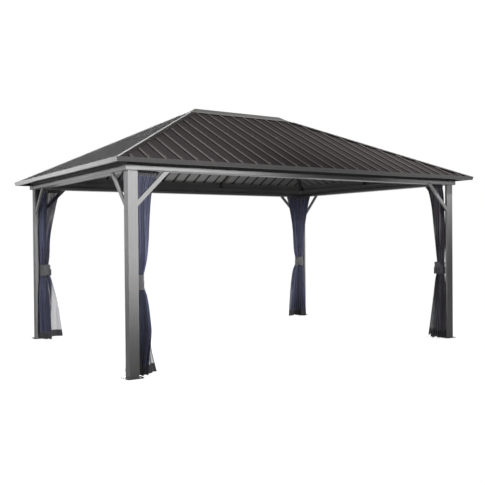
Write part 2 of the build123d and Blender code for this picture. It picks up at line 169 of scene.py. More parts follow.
class Graph:
    """The nodes of one material, or of the world."""

    def __init__(self, name: str, kind: str = "Material") -> None:
        """Start with an empty tree.

        Args:
            name: The name of the material or the world.
            kind: Material or World.
        """
        self.kind = kind
        self.owner = (bpy.data.worlds if kind == "World" else bpy.data.materials).new(name)
        self.owner.use_nodes = True
        self.tree = self.owner.node_tree
        self.tree.nodes.clear()

    def node(self, kind: str, settings: dict | None = None, **inputs: object) -> bpy.types.Node:
        """Add a node.

        Args:
            kind: The node's type, without the ShaderNode prefix.
            settings: The node's own settings.
            inputs: Values or terms for its sockets, with underscores for spaces.

        Returns:
            The new node.
        """
        made = self.tree.nodes.new(f"ShaderNode{kind}")
        for key, value in (settings or {}).items():
            setattr(made, key, value)
        for key, value in inputs.items():
            self.feed(self.find(made, key), value)
        return made

    @staticmethod
    def find(made: bpy.types.Node, key: str) -> bpy.types.NodeSocket:
        """Find an input socket.

        Args:
            made: The node.
            key: The socket's name with underscores for spaces, or its number, as in in_1.

        Returns:
            The socket, which is an enabled one where it is found by name.
        """
        if key.startswith("in_"):
            return made.inputs[int(key[3:])]
        wanted = key.replace("_", " ")
        return next(s for s in made.inputs if s.name == wanted and s.enabled)

    def feed(self, socket: bpy.types.NodeSocket, value: object) -> None:
        """Link a term to a socket, or set its value.

        Args:
            socket: The socket.
            value: The term or the value. A colour gets an alpha of one.
        """
        if isinstance(value, Term):
            self.tree.links.new(value.socket, socket)
        else:
            socket.default_value = (*value, 1.0) if socket.type == "RGBA" else value

    def term(self, made: bpy.types.Node, output: str | int = 0) -> Term:
        """An output of a node as a term."""
        return Term(self, made.outputs[output])

    def maths(self, operation: str, first: Term | float, second: Term | float = 0.0) -> Term:
        """A Math node on one or two values."""
        return self.term(self.node("Math", {"operation": operation}, in_0=first, in_1=second))

    def mix(self, share: Term, first: Term | Colour, second: Term | Colour) -> Term:
        """A blend of two colours."""
        made = self.node("Mix", {"data_type": "RGBA"}, Factor=share, A=first, B=second)
        return self.term(made, 2)

    def position(self) -> Term:
        """The object coordinates, which are metres in the row frame."""
        return self.term(self.node("TexCoord"), "Object")

    def cloth(self) -> Term:
        """The piece's own UV, in metres."""
        return self.term(self.node("TexCoord"), "UV")

    def axes(self, vector: Term) -> tuple[Term, Term, Term]:
        """The three numbers of a vector."""
        made = self.node("SeparateXYZ", Vector=vector)
        return tuple(self.term(made, number) for number in range(3))

    def clouds(self, scale: float | Colour, detail: float = 3.0, weight: float = 0.55) -> Term:
        """Soft noise.

        Args:
            scale: The number of blotches in a metre, or three of them, one for each axis.
            detail: The number of finer layers.
            weight: How much each finer layer counts against the one before.

        Returns:
            A value round one half.
        """
        place = self.position()
        if isinstance(scale, tuple):
            place, scale = self.term(self.node("Mapping", Vector=place, Scale=scale)), 1.0
        made = self.node("TexNoise", Vector=place, Scale=scale, Detail=detail, Roughness=weight)
        return self.term(made)

    def relief(self, height: Term, depth: float, under: Term | None = None) -> Term:
        """A bumped normal.

        Args:
            height: The relief, from zero to one.
            depth: What a height of one stands for, in metres.
            under: A normal that it goes over.

        Returns:
            The normal.
        """
        made = self.node("Bump", Strength=1.0, Distance=depth, Height=height)
        if under is not None:
            self.feed(self.find(made, "Normal"), under)
        return self.term(made)

    def seen(self) -> Term:
        """Tell the rays that see a surface from those that only carry its light.

        Returns:
            One for a ray from the camera, in gloss or through glass, and zero for any other.
        """
        path = self.node("LightPath")
        rays = [self.term(path, f"Is {kind} Ray") for kind in ("Camera", "Transmission", "Glossy")]
        return rays[0].larger(rays[1]).larger(rays[2])

    def coat(self, **inputs: object) -> bpy.types.Material:
        """End the material with one Principled shader.

        Args:
            inputs: Values or terms for the shader's sockets.

        Returns:
            The material.
        """
        return self.finish(self.node("BsdfPrincipled", **inputs))

    def finish(self, shader: bpy.types.Node) -> bpy.types.Material | bpy.types.World:
        """Send a shader to the output.

        Args:
            shader: The last node.

        Returns:
            The finished material or world.
        """
        output = self.node(f"Output{self.kind}")
        self.tree.links.new(shader.outputs[0], output.inputs["Surface"])
        return self.owner


def toned(colour: Colour, share: float) -> Colour:
    """The colour times a share, and at most one."""
    return tuple(min(c * share, 1.0) for c in colour)


@dataclass(frozen=True)
class SatinCoat:
    """Powder coat with fine orange peel and a little dust.

    Two lap seams at the given distance from the middle, and a painted highlight along the roof's
    hips, are added where they are asked for.
    """

    name: str
    colour: Colour
    roughness: float = 0.38
    gloss: float = 0.3
    peel_depth: float = 0.000012
    dust: Colour = (0.34, 0.33, 0.31)
    dust_share: float = 0.05
    dust_height: float = 0.35
    lap: float = 0.0
    lap_half: float = 0.0022
    lap_depth: float = 0.0012
    # Painted highlight along the roof's hips: its share, colour and edge.
    hip_crest: float = 0.0
    hip_colour: Colour = (0.62, 0.62, 0.62)
    hip_edge: tuple[float, float] = (0.004, 0.01)

    def material(self) -> bpy.types.Material:
        """Build the material.

        Returns:
            The material.
        """
        graph = Graph(self.name)
        across, along, height = graph.axes(graph.position())
        blotches = graph.clouds(1.7).between(0.3, 0.7)
        shade = graph.mix(blotches, toned(self.colour, 0.93), toned(self.colour, 1.07))
        low = 1.0 - height.between(0.0, self.dust_height)
        dusty = (low * 0.6 + 0.4) * graph.clouds(6.0, 5.0).between(0.42, 0.72) * self.dust_share
        shade = graph.mix(dusty, shade, self.dust)
        rough = graph.clouds(9.0, 4.0) * 0.12 + (self.roughness - 0.06) + dusty * 0.5
        normal = graph.relief(graph.clouds(300.0, 2.0), self.peel_depth)
        if self.lap:
            seam = abs(abs(across) - self.lap).below(self.lap_half)
            shade = graph.mix(seam, shade, toned(self.colour, 0.25))
            normal = graph.relief(1.0 - seam, self.lap_depth, normal)
        if self.hip_crest:
            # Painted highlight: a light line along the hip roll.
            off_hip = abs(abs(across) - abs(along) - (FRAME_HALF_LENGTH - FRAME_HALF_DEPTH))
            painted_light_line = (1.0 - off_hip.between(*self.hip_edge)) * self.hip_crest
            shade = graph.mix(painted_light_line, shade, self.hip_colour)
        return graph.coat(
            Base_Color=shade, Roughness=rough, Specular_IOR_Level=self.gloss, Normal=normal
        )


@dataclass(frozen=True)
class RoofSteel:
    """Coated roofing steel, with run-off streaks down the slope and two lines beside each rib.

    The ribs stand at whole multiples of their pitch, across x on the long slopes and across y on
    the short ones. From above, the crest's edges get a painted highlight and the rib's feet a
    painted shade. From below, the same lines are painted shade: the dark hollow of the rib and its
    shaded sides.
    """

    name: str
    ribs_across_x: bool = True
    colour: Colour = (0.05, 0.0435, 0.045)
    streak: Colour = (0.07, 0.061, 0.06)
    # crest is a painted highlight on the crest's edges, and painted shade in the hollow from
    # below; foot is painted shade at the rib's feet.
    crest: Colour = (0.2, 0.185, 0.175)
    foot: Colour = (0.006, 0.005, 0.005)
    roughness: float = 0.5
    fine_streaks: float = 26.0
    long_streaks: float = 1.3
    crest_line: float = 0.011
    crest_width: float = 0.003
    foot_line: float = 0.025
    foot_width: float = 0.0045

    def material(self) -> bpy.types.Material:
        """Build the material.

        Returns:
            The material.
        """
        graph = Graph(self.name)
        scale = [self.long_streaks] * 3
        scale[0 if self.ribs_across_x else 1] = self.fine_streaks
        streaks = graph.clouds(tuple(scale), 4.0, 0.6)
        patches = graph.clouds(1.1, 4.0).between(0.35, 0.7)
        shade = graph.mix(streaks.between(0.45, 0.8) * 0.45 * patches, self.colour, self.streak)
        across, along, _ = graph.axes(graph.position())
        from_rib = abs(across if self.ribs_across_x else along).folded(RIB_PITCH / 2)
        # Painted highlight along each edge of the rib's crest; on the backing coat, painted shade
        # in the rib's hollow.
        painted_light_line = from_rib.band(self.crest_line, self.crest_width) * (streaks * 0.7 + 0.5)
        shade = graph.mix(painted_light_line, shade, self.crest)
        # Painted shade: a dark line at each foot of the rib.
        painted_foot_shade = from_rib.band(self.foot_line, self.foot_width)
        shade = graph.mix(painted_foot_shade * 0.85, shade, self.foot)
        rough = streaks * 0.16 + patches * 0.08 + (self.roughness - 0.12)
        return graph.coat(Base_Color=shade, Roughness=rough, Specular_IOR_Level=0.0)


@dataclass(frozen=True)
class DrawnMetal:
    """Dark extruded metal with fine drawing lines."""

    name: str
    colour: Colour
    roughness: float = 0.35
    lines: float = 900.0
    line_depth: float = 0.00002

    def material(self) -> bpy.types.Material:
        """Build the material.

        Returns:
            The material.
        """
        graph = Graph(self.name)
        drawn = graph.clouds((self.lines, self.lines, 6.0), 2.0, 0.5)
        return graph.coat(
            Base_Color=graph.mix(drawn, toned(self.colour, 0.85), toned(self.colour, 1.1)),
            Roughness=drawn * 0.12 + (self.roughness - 0.06),
            Metallic=0.85,
            Normal=graph.relief(drawn, self.line_depth),
        )


@dataclass(frozen=True)
class Netting:
    """Fine polyester netting: open mesh, a closed hem and a header tape, on the sheet's own UV.

    The UV is in metres, with u across the cloth and v up from the hem. The sheet's crease
    attribute is one on the crest of a pleat, which gets a painted highlight, and zero between two,
    where the cloth is bunched and keeps the darker colour as painted shade. Above the tie several
    layers lie behind one another, so the mesh closes there. The flap is the open lower corner,
    where one layer hangs free; it gets a painted highlight.
    """

    name: str
    length: float
    colour: Colour = (0.028, 0.03, 0.06)
    # Painted highlight on the pleat crests.
    worn: Colour = (0.15, 0.16, 0.27)
    # Painted highlight on the loose flap.
    flap_colour: Colour = (0.44, 0.45, 0.52)
    tape_colour: Colour = (0.05, 0.048, 0.055)
    stitch_colour: Colour = (0.12, 0.12, 0.14)
    pitch: float = 0.0024
    weave: float = 0.0022
    weave_depth: float = 0.0002
    thread_cover: float = 0.95
    hole_cover: float = 0.52
    bunched_cover: float = 0.93
    layered_cover: float = 0.86
    layered_from: tuple[float, float] = (1.0, 1.25)
    layered_to: tuple[float, float] = (1.55, 1.75)
    tape_cover: float = 0.985
    flap_cover: float = 0.62
    flap_width: float = 0.19
    flap_height: float = 0.55
    hem: float = 0.09
    header: float = 0.045

    def material(self) -> bpy.types.Material:
        """Build the material.

        Returns:
            The material.
        """
        graph = Graph(self.name)
        across, up, _ = graph.axes(graph.cloth())
        half, header = self.pitch / 2, self.length - self.header
        threads = across.folded(half).larger(up.folded(half))
        thread = (threads / half).between(0.55, 0.8)
        closed = up.below(self.hem).larger(up.above(header))
        seam = abs(up - self.hem).below(0.004).larger(abs(up - header).below(0.003))
        flap = (1.0 - across.between(self.flap_width * 0.8, self.flap_width)) * (
            1.0 - up.between(self.flap_height * 0.6, self.flap_height)
        )
        layered = up.between(*self.layered_from) * (1.0 - up.between(*self.layered_to))
        crease = graph.term(graph.node("Attribute", {"attribute_name": "crease"}), "Fac")
        bunched = (1.0 - crease.between(0.35, 0.9)) * self.bunched_cover
        cover = thread * (self.thread_cover - self.hole_cover) + self.hole_cover
        cover = cover.larger(layered * self.layered_cover).larger(bunched)
        cover = cover * (1.0 - flap * (1.0 - self.flap_cover))
        cover = cover.larger(closed * self.tape_cover)
        # Painted highlight on the pleat crests, patchy, over the base colour, which stands as
        # painted shade between them.
        painted_light = graph.clouds(2.6).between(0.35, 0.75) * 0.4 + 0.6
        shade = graph.mix(crease.between(0.35, 0.95) * painted_light, self.colour, self.worn)
        # Painted highlight on the loose flap.
        shade = graph.mix(flap * 0.5, shade, self.flap_colour)
        shade = graph.mix(closed, shade, self.tape_colour)
        shade = graph.mix(seam * 0.6, shade, self.stitch_colour)
        weave = across.folded(self.weave / 2) + up.folded(self.weave / 2)
        return graph.coat(
            Base_Color=shade,
            Roughness=0.78,
            Alpha=cover,
            Normal=graph.relief(weave / self.weave, self.weave_depth),
            Sheen_Weight=0.15,
        )


@dataclass(frozen=True)
class WovenBand:
    """Woven strap: ribs across, stitched edges, on the band's own UV in metres."""

    name: str
    width: float
    colour: Colour = (0.075, 0.075, 0.082)
    stitch_colour: Colour = (0.16, 0.16, 0.17)
    lint_colour: Colour = (0.13, 0.13, 0.14)
    rib: float = 0.0032
    pick: float = 0.0018
    weave_depth: float = 0.0005
    stitch: float = 0.007
    stitch_gap: float = 0.0011
    stitch_half: float = 0.0008
    stitch_inset: float = 0.006
    stitch_depth: float = 0.0006

    def material(self) -> bpy.types.Material:
        """Build the material.

        Returns:
            The material.
        """
        graph = Graph(self.name)
        along, up, _ = graph.axes(graph.cloth())
        ribs = along.folded(self.rib / 2) / (self.rib / 2)
        picks = up.folded(self.pick / 2) / (self.pick / 2)
        from_edge = self.width / 2 - abs(up - self.width / 2)
        row = abs(from_edge - self.stitch_inset).below(self.stitch_half)
        sewn = row * along.folded(self.stitch / 2).above(self.stitch_gap)
        weave = ribs * 0.6 + picks * 0.4
        shade = graph.mix(weave, toned(self.colour, 0.72), toned(self.colour, 1.15))
        shade = graph.mix(sewn, shade, self.stitch_colour)
        lint = graph.clouds(22.0).between(0.45, 0.8)
        shade = graph.mix(lint * 0.3, shade, self.lint_colour)
        normal = graph.relief(ribs * 0.7 + picks * 0.3, self.weave_depth)
        normal = graph.relief(1.0 - row, self.stitch_depth, normal)
        return graph.coat(Base_Color=shade, Roughness=0.72, Normal=normal, Sheen_Weight=0.2)


def facing(place: Vector, aim: Vector, axis: str, upright: str) -> Matrix:
    """A place, and the turn that points an axis along a direction.

    Args:
        place: The place.
        aim: The direction.
        axis: The axis to point along it.
        upright: The axis to keep as upright as it goes.

    Returns:
        The place and the turn as one matrix.
    """
    return Matrix.Translation(place) @ aim.to_track_quat(axis, upright).to_matrix().to_4x4()


class Bench:
    """The steps of selecting, changing and copying that every class uses."""

    @staticmethod
    def take(piece: bpy.types.Object) -> None:
        """Select one piece alone and make it active.

        Args:
            piece: The piece.
        """
        bpy.ops.object.select_all(action="DESELECT")
        piece.select_set(True)
        bpy.context.view_layer.objects.active = piece

    @classmethod
    def modify(cls, piece: bpy.types.Object, kind: str, **settings: object) -> None:
        """Put a modifier on a piece and apply it.

        Args:
            piece: The piece.
            kind: The modifier's type.
            settings: The modifier's own settings.
        """
        cls.take(piece)
        modifier = piece.modifiers.new(kind.lower(), kind)
        for key, value in settings.items():
            setattr(modifier, key, value)
        bpy.ops.object.modifier_apply(modifier=modifier.name)

    @classmethod
    def round_edges(cls, piece: bpy.types.Object, width: float) -> None:
        """Break the edges and shade the round parts smooth.

        Args:
            piece: The piece.
            width: The width of the broken edges.
        """
        sharp = math.radians(30)
        cls.modify(
            piece, "BEVEL", width=width, segments=2, limit_method="ANGLE", angle_limit=sharp
        )
        cls.take(piece)
        bpy.ops.object.shade_smooth_by_angle(angle=math.radians(40))

    @staticmethod
    def settle(piece: bpy.types.Object) -> None:
        """Bring a piece's place and turn into its mesh."""
        piece.data.transform(piece.matrix_basis)
        piece.matrix_basis = Matrix.Identity(4)

    @classmethod
    def rod(
        cls, sides: int, radius: float, depth: float, middle: float, edge: float = 0.0
    ) -> bpy.types.Object:
        """Add an upright cylinder on the origin's axis.

        Args:
            sides: The number of its sides.
            radius: Its radius.
            depth: Its height.
            middle: The height of its middle.
            edge: The width of its broken edges, if it has any.

        Returns:
            The cylinder.
        """
        bpy.ops.mesh.primitive_cylinder_add(
            vertices=sides, radius=radius, depth=depth, location=(0.0, 0.0, middle)
        )
        rod = bpy.context.object
        cls.settle(rod)
        if edge:
            cls.round_edges(rod, edge)
        return rod

    @classmethod
    def together(cls, pieces: list[bpy.types.Object], name: str) -> bpy.types.Object:
        """Join pieces into the first, with its origin at the world's.

        Args:
            pieces: The pieces.
            name: The name of the joined piece.

        Returns:
            The joined piece.
        """
        for piece in pieces:
            cls.settle(piece)
        cls.take(pieces[0])
        for piece in pieces[1:]:
            piece.select_set(True)
        bpy.ops.object.join()
        pieces[0].name = name
        return pieces[0]

    @staticmethod
    def repeat(
        pattern: bpy.types.Object, name: str, places: Iterable[Matrix]
    ) -> bpy.types.Object:
        """Copy a small piece to many places, as one object.

        Args:
            pattern: The piece, modelled round the world origin.
            name: The name of the new object.
            places: Where each copy goes.

        Returns:
            The new object.
        """
        joined = bmesh.new()
        for place in places:
            copy = pattern.data.copy()
            copy.transform(place)
            joined.from_mesh(copy)
            bpy.data.meshes.remove(copy)
        mesh = bpy.data.meshes.new(name)
        joined.to_mesh(mesh)
        joined.free()
        made = bpy.data.objects.new(name, mesh)
        bpy.context.scene.collection.objects.link(made)
        return made

    @staticmethod
    def cloth(
        name: str, steps: tuple[int, int], size: tuple[float, float]
    ) -> bpy.types.Object:
        """Add a grid one metre square, with the flat cloth's own UV in metres.

        Args:
            name: The name of the piece.
            steps: The number of faces across and up.
            size: The flat cloth's width and height.

        Returns:
            The grid, whose points are still to be placed.
        """
        bpy.ops.mesh.primitive_grid_add(
            x_subdivisions=steps[0], y_subdivisions=steps[1], size=1.0
        )
        sheet = bpy.context.object
        sheet.name = name
        for loop in sheet.data.uv_layers[0].data:
            loop.uv = (loop.uv[0] * size[0], loop.uv[1] * size[1])
        return sheet

    @staticmethod
    def dress(
        piece: bpy.types.Object, finish: bpy.types.Material, slot: str, *nodes: str
    ) -> None:
        """Give a piece its finish and what it stands for, and fix it to the frame.

        Args:
            piece: The piece.
            finish: Its material.
            slot: The record's slot for that finish. Not used.
            nodes: The CAD nodes that it replaces.
        """
        piece.data.materials.clear()
        piece.data.materials.append(finish)
        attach(piece, "root")
        if nodes:
            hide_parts(*nodes)
        LOG.info("%s: %d faces", piece.name, len(piece.data.polygons))


@dataclass(frozen=True)
class FrameMember:
    """A rigid CAD piece with the soft edges that drawing, folding and coating leave."""

    node: str
    slot: str
    edge: float = 0.0012
    weld: float = 0.00002
    flat_angle: float = 0.5
    down: float = -0.05

    def build(
        self,
        source: bpy.types.Object,
        finish: bpy.types.Material,
        underside: bpy.types.Material | None = None,
    ) -> None:
        """Copy the CAD solid, merge its points, break its edges and keep its flat faces flat.

        Args:
            source: The CAD node.
            finish: The material.
            underside: The material of the faces that look down, where it differs.
        """
        piece = source.copy()
        piece.data = source.data.copy()
        piece.name = f"{self.node}_finished"
        piece.parent = None
        for key in [key for key in piece.keys() if key.startswith("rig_")]:
            del piece[key]
        bpy.context.scene.collection.objects.link(piece)
        Bench.take(piece)
        bpy.ops.object.mode_set(mode="EDIT")
        bpy.ops.mesh.select_all(action="SELECT")
        bpy.ops.mesh.remove_doubles(threshold=self.weld)
        bpy.ops.mesh.dissolve_limited(angle_limit=math.radians(self.flat_angle))
        bpy.ops.object.mode_set(mode="OBJECT")
        Bench.round_edges(piece, self.edge)
        Bench.modify(piece, "WEIGHTED_NORMAL", keep_sharp=True)
        Bench.dress(piece, finish, self.slot, self.node)
        if underside is not None:
            piece.data.materials.append(underside)
            for face in piece.data.polygons:
                face.material_index = 1 if face.normal.z < self.down else 0


@dataclass(frozen=True)
class RoofScrews:
    """Hex-head roofing screws on sealing washers, through the ribs and the cap flanges.

    The insets are distances from the eave, in plan. On the hips, the steps and the first inset are
    distances along each of the two eaves.
    """

    head_radius: float = 0.0052
    head_height: float = 0.0046
    head_edge: float = 0.0007
    washer_radius: float = 0.0082
    washer_height: float = 0.0018
    washer_edge: float = 0.0006
    eave_inset: float = 0.075
    middle_inset: float = 0.93
    ridge_inset: float = 1.63
    hip_clearance: float = 0.11
    hip_inset: float = 0.16
    hip_step: float = 0.546 * math.sqrt(0.5)
    hip_count: int = 5
    hip_offset: float = 0.031 * math.sqrt(0.5)
    ridge_offset: float = 0.108
    over_the_roof: float = 5.0

    def pattern(self) -> bpy.types.Object:
        """Model one screw, head up, with its washer's underside at the origin.

        Returns:
            The screw.
        """
        seat = self.washer_height
        washer = Bench.rod(24, self.washer_radius, seat, seat / 2, self.washer_edge)
        middle = seat + self.head_height / 2
        head = Bench.rod(6, self.head_radius, self.head_height, middle, self.head_edge)
        return Bench.together([washer, head], "roof_screw_pattern")

    def seats(self, source: bpy.types.Object, places: list[tuple[float, float]]) -> list[Matrix]:
        """Find where screws stand on a sheet, leaving out those that would miss it.

        Args:
            source: The CAD node of the sheet.
            places: The x and y of each screw.

        Returns:
            The place and turn of each screw.
        """
        mesh = source.data
        sheet = BVHTree.FromPolygons(
            [vertex.co for vertex in mesh.vertices], [face.vertices for face in mesh.polygons]
        )
        seats = []
        for x, y in places:
            start = Vector((x, y, self.over_the_roof))
            spot, normal, _, _ = sheet.ray_cast(start, Vector((0, 0, -1)))
            if spot is not None:
                seats.append(facing(spot, normal, "Z", "Y"))
        return seats

    def rows(self, reach: float, half_width: float) -> list[tuple[float, float]]:
        """Places on one slope.

        Args:
            reach: Distance from the roof's middle to this slope's eave, in plan.
            half_width: Half of the eave's length.

        Returns:
            Pairs of the place along the eave and the distance from the roof's middle.
        """
        places = []
        for inset, step in ((self.eave_inset, 1), (self.middle_inset, 2), (self.ridge_inset, 2)):
            count = int((half_width - inset - self.hip_clearance) / RIB_PITCH)
            places += [
                (number * RIB_PITCH, reach - inset)
                for number in range(-count, count + 1)
                if number % step == 0
            ]
        return places

    def build(self, nodes: dict[str, bpy.types.Object], finish: bpy.types.Material) -> None:
        """Fix the four slopes, the hips and the ridge.

        Args:
            nodes: The CAD nodes by name.
            finish: The screws' material.
        """
        half_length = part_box("roof_panel_front")[1].x
        half_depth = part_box("roof_panel_back")[1].y
        long_slope = self.rows(half_depth, half_length)
        short_slope = self.rows(half_length, half_depth)
        count = int(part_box("ridge_cap")[1].x / (2 * RIB_PITCH))
        spots = {
            "roof_panel_front": [(x, -y) for x, y in long_slope],
            "roof_panel_back": long_slope,
            "roof_panel_left": [(-y, x) for x, y in short_slope],
            "roof_panel_right": [(y, x) for x, y in short_slope],
            "ridge_cap": [
                (number * 2 * RIB_PITCH, side * self.ridge_offset)
                for number in range(-count, count + 1)
                for side in (-1, 1)
            ],
        }
        runs = [self.hip_inset + number * self.hip_step for number in range(self.hip_count)]
        for corner in Corner:
            side, end = corner.value
            spots[f"hip_cap_{corner.label}"] = [
                (side * (half_length - run - slide), end * (half_depth - run + slide))
                for run in runs
                for slide in (-self.hip_offset, self.hip_offset)
            ]
        pattern = self.pattern()
        for name, places in spots.items():
            screws = Bench.repeat(pattern, f"{name}_screws", self.seats(nodes[name], places))
            Bench.dress(screws, finish, "trim_coat")
        bpy.data.objects.remove(pattern)


def eased(heights: tuple[float, ...], values: tuple[float, ...], height: float) -> float:
    """Read a smooth curve through a few measured values.

    Args:
        heights: Where the values were taken, rising.
        values: The values.
        height: Where to read.

    Returns:
        The value there.
    """
    if height <= heights[0]:
        return values[0]
    last = len(heights) - 1
    place = next((n for n in range(last) if height < heights[n + 1]), last - 1)
    slopes = []
    for number in (place, place + 1):
        before, after = max(number - 1, 0), min(number + 1, last)
        slopes.append((values[after] - values[before]) / (heights[after] - heights[before]))
    gap = heights[place + 1] - heights[place]
    share = min((height - heights[place]) / gap, 1.0)
    square, cube = share * share, share * share * share
    return (
        (2 * cube - 3 * square + 1) * values[place]
        + (cube - 2 * square + share) * gap * slopes[0]
        + (3 * square - 2 * cube) * values[place + 1]
        + (cube - square) * gap * slopes[1]
    )


def line_length(line: list[Vector]) -> float:
    """The length of a line of points."""
    return sum((after - before).length for before, after in zip(line, line[1:]))


def smooth_line(points: list[Vector], count: int, fineness: int = 24) -> list[Vector]:
    """Even steps along a smooth line through a few points.

    Args:
        points: The points.
        count: The number of places to return.
        fineness: The number of steps between two points on the line that is measured.

    Returns:
        The places, evenly spaced along the line.
    """
    ends = [2 * points[0] - points[1], *points, 2 * points[-1] - points[-2]]
    dense = []
    for first, second, third, fourth in zip(ends, ends[1:], ends[2:], ends[3:]):
        for number in range(fineness):
            share = number / fineness
            dense.append(
                0.5
                * (
                    2 * second
                    + (third - first) * share
                    + (2 * first - 5 * second + 4 * third - fourth) * share**2
                    + (3 * second - first - 3 * third + fourth) * share**3
                )
            )
    dense.append(points[-1])
    run = [0.0]
    for before, after in zip(dense, dense[1:]):
        run.append(run[-1] + (after - before).length)
    line, place = [], 0
    for number in range(count):
        wanted = run[-1] * number / (count - 1)
        while place < len(run) - 2 and run[place + 1] < wanted:
            place += 1
        share = (wanted - run[place]) / (run[place + 1] - run[place])
        line.append(dense[place].lerp(dense[place + 1], share))
    return line


@dataclass(frozen=True)
class Net:
    """One net, gathered at its post: hung from two tracks, tied at waist height, flared below.

    The net is one sheet. Seen from above, each row of it runs from the end of one wing, round the
    corner side of the bundle, to the end of the other wing, in pleats whose depth gives the row
    the cloth's own width. Sizes are in metres.
    """

    corner: Corner
    middle: tuple[float, float]
    along_reach: tuple[float, ...]
    inward_reach: tuple[float, ...]
    seed: float
    width: float = 3.6
    length: float = 1.99
    cloth: str = "netting"
    flap: float = 0.0
    flap_height: float = 0.5
    flap_share: float = 0.05
    tie_leaves: float = 20.0
    tie_tail: float = 0.035
    columns: int = 430
    rows: int = 100
    pleats: float = 31.0
    pleat_lap: float = 0.14
    ripple: float = 0.007
    track_line: float = 0.092
    rise_from: float = 0.99
    free_share: float = 0.25
    corner_share: float = 0.8
    heights: tuple[float, ...] = (
        0.0, 0.24, 0.5, 0.77, TIE_HEIGHT, 1.1, 1.3, 1.48, 1.72, 1.88, 2.0,
    )
    core: tuple[float, ...] = (
        0.052, 0.049, 0.046, 0.038, 0.033, 0.037, 0.04, 0.042, 0.038, 0.035, 0.033,
    )
    depth: tuple[float, ...] = (
        0.04, 0.038, 0.036, 0.031, 0.027, 0.03, 0.031, 0.03, 0.026, 0.022, 0.017,
    )

    def centre_line(self, height: float) -> list[Vector]:
        """The middle of the pleats at one height, which follows the tracks at the top.

        Args:
            height: The height above the floor.

        Returns:
            Even steps along the line, as distances inward from the post's outer faces.
        """
        rise = max(0.0, min(height - self.rise_from, 1.0))
        rise = rise * rise * (3 - 2 * rise)
        core, first, second = (
            eased(self.heights, sizes, height)
            for sizes in (self.core, self.along_reach, self.inward_reach)
        )
        near, free = (
            [(self.track_line - place) * rise + side * core * (1 - rise) for place in self.middle]
            for side in (-1.0, self.free_share)
        )
        turn = self.corner_share + (1 - self.corner_share) * rise
        offsets = (
            (first, free[1]),
            (first * 0.5, near[1]),
            (near[0] * turn, near[1] * turn),
            (near[0], second * 0.5),
            (free[0], second),
        )
        along, inward = self.middle
        points = [Vector((along + x, inward + y, height)) for x, y in offsets]
        return smooth_line(points, self.columns)

    def slid(self, line: list[Vector], height: float) -> list[Vector]:
        """Give the loose flap near the hem its own flat length, and push the pleats together.

        Args:
            line: The centre line, in even steps.
            height: The height above the floor.

        Returns:
            The same line in steps that follow the cloth.
        """
        flat = self.flap * max(0.0, 1.0 - height / self.flap_height) / line_length(line)
        held = max(flat, self.flap_share)
        last = self.columns - 1
        places = []
        for number in range(self.columns):
            share = number / last
            if share < self.flap_share:
                moved = held * share / self.flap_share
            else:
                moved = held + (1 - held) * (share - self.flap_share) / (1 - self.flap_share)
            step = min(moved * last, last - 0.001)
            places.append(line[int(step)].lerp(line[int(step) + 1], step - int(step)))
        return places

    def pleat(self, share: float, height: float) -> tuple[float, float]:
        """How a point of the cloth stands off the centre line.

        Args:
            share: The place across the cloth, from 0 to 1.
            height: The height above the floor.

        Returns:
            The share of the pleats' depth to one side, from -1 to 1, and how far the point is
            pushed back along the line, in pleats, so that each pleat laps over the next.
        """

        def wave(size: float, across: float, up: float, shift: int) -> float:
            """A sine over the cloth, with so many turns across it and so many in a metre up."""
            turns = across * share + up * height
            return size * math.sin(2 * math.pi * turns + shift * self.seed)

        drift = abs(height - TIE_HEIGHT) * (wave(0.9, 2.3, 0.31, 1) + wave(0.5, 5.7, -0.43, 2))
        warp = wave(1.9, 2.1, 0.0, 1) + wave(0.9, 5.3, 0.0, 3)
        phase = 2 * math.pi * self.pleats * share + warp + drift
        size = 0.72 + wave(0.2, 4.7, 0.0, 5) + wave(0.14, 11.3, 0.6, 2)
        fold = size * math.sin(phase) + 0.16 * math.sin(2.37 * phase + self.seed)
        loose = min(share / 0.07, (1 - share) / 0.05, 1.0)
        sway = wave(0.25, 1.7, 0.52, 1)
        side = max(-1.0, min(fold * (0.25 + 0.75 * loose) + sway * (1 - loose), 1.0))
        return side, -self.pleat_lap * loose * math.sin(2 * phase)

    def row(self, height: float) -> tuple[list[Vector], list[float]]:
        """One row of the cloth, with the pleats' depth found by halving.

        Args:
            height: The height above the floor.

        Returns:
            The points, and the share of the pleats' depth at each.
        """
        line = self.slid(self.centre_line(height), height)
        sides = []
        for number in range(self.columns):
            before, after = line[max(number - 1, 0)], line[min(number + 1, self.columns - 1)]
            run = (after - before).normalized()
            sides.append(Vector((run.y, -run.x, 0.0)))
        folds = [self.pleat(n / (self.columns - 1), height) for n in range(self.columns)]
        pitch = line_length(line) / self.pleats
        line = [
            point + Vector((-side.y, side.x, 0.0)) * (fold[1] * pitch)
            for point, side, fold in zip(line, sides, folds)
        ]
        shares = [fold[0] for fold in folds]
        low, high = 0.0, eased(self.heights, self.depth, height)
        for _ in range(9):
            depth = (low + high) / 2
            points = [p + s * (depth * k) for p, s, k in zip(line, sides, shares)]
            low, high = (depth, high) if line_length(points) < self.width else (low, depth)
        return points, shares

